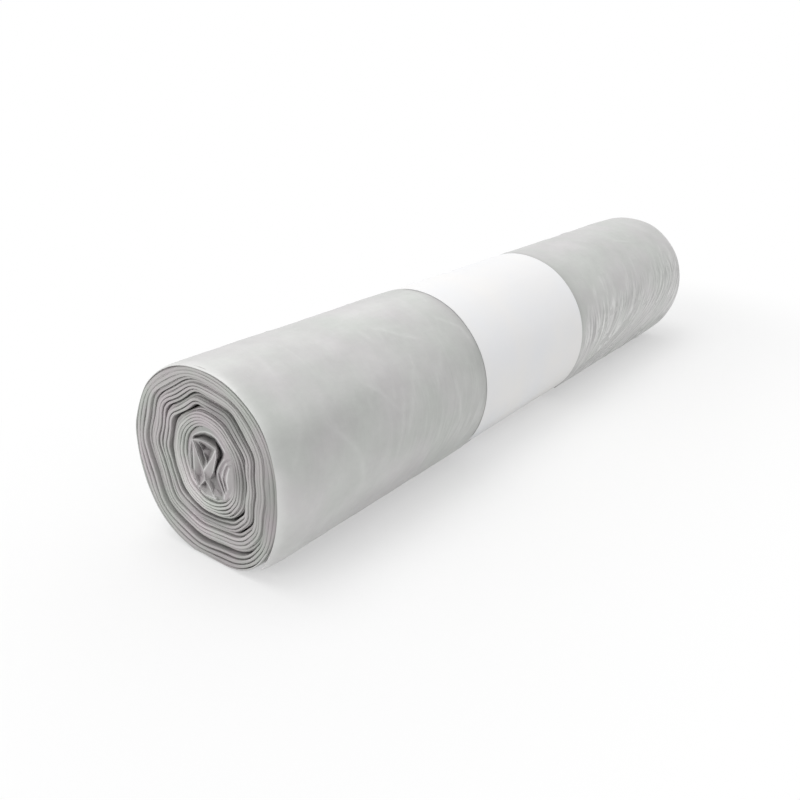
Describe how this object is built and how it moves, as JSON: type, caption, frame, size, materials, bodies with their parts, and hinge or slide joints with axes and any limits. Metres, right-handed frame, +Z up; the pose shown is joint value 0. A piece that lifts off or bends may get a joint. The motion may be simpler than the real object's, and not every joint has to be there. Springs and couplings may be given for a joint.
{
  "type": "bin bag roll",
  "caption": "Roll of pale grey bin bags: a folded film web wound up without a core, lying on its side and held by a plain white paper band.",
  "frame": {"origin": "on the surface that the roll lies on, under the middle of the roll's length and width", "axes": "+X along the roll, away from the end that the picture shows; +Z up"},
  "size_m": [0.2988, 0.0644, 0.0626],
  "materials": {
    "film": "thin polyethylene film in pale grey, satin, slightly see-through where one ply stands alone, softly creased",
    "paper": "plain white uncoated paper, matte, with cut edges"
  },
  "bodies": {
    "root": {"bag_roll": "film", "paper_band": "paper"}
  },
  "joints": []
}
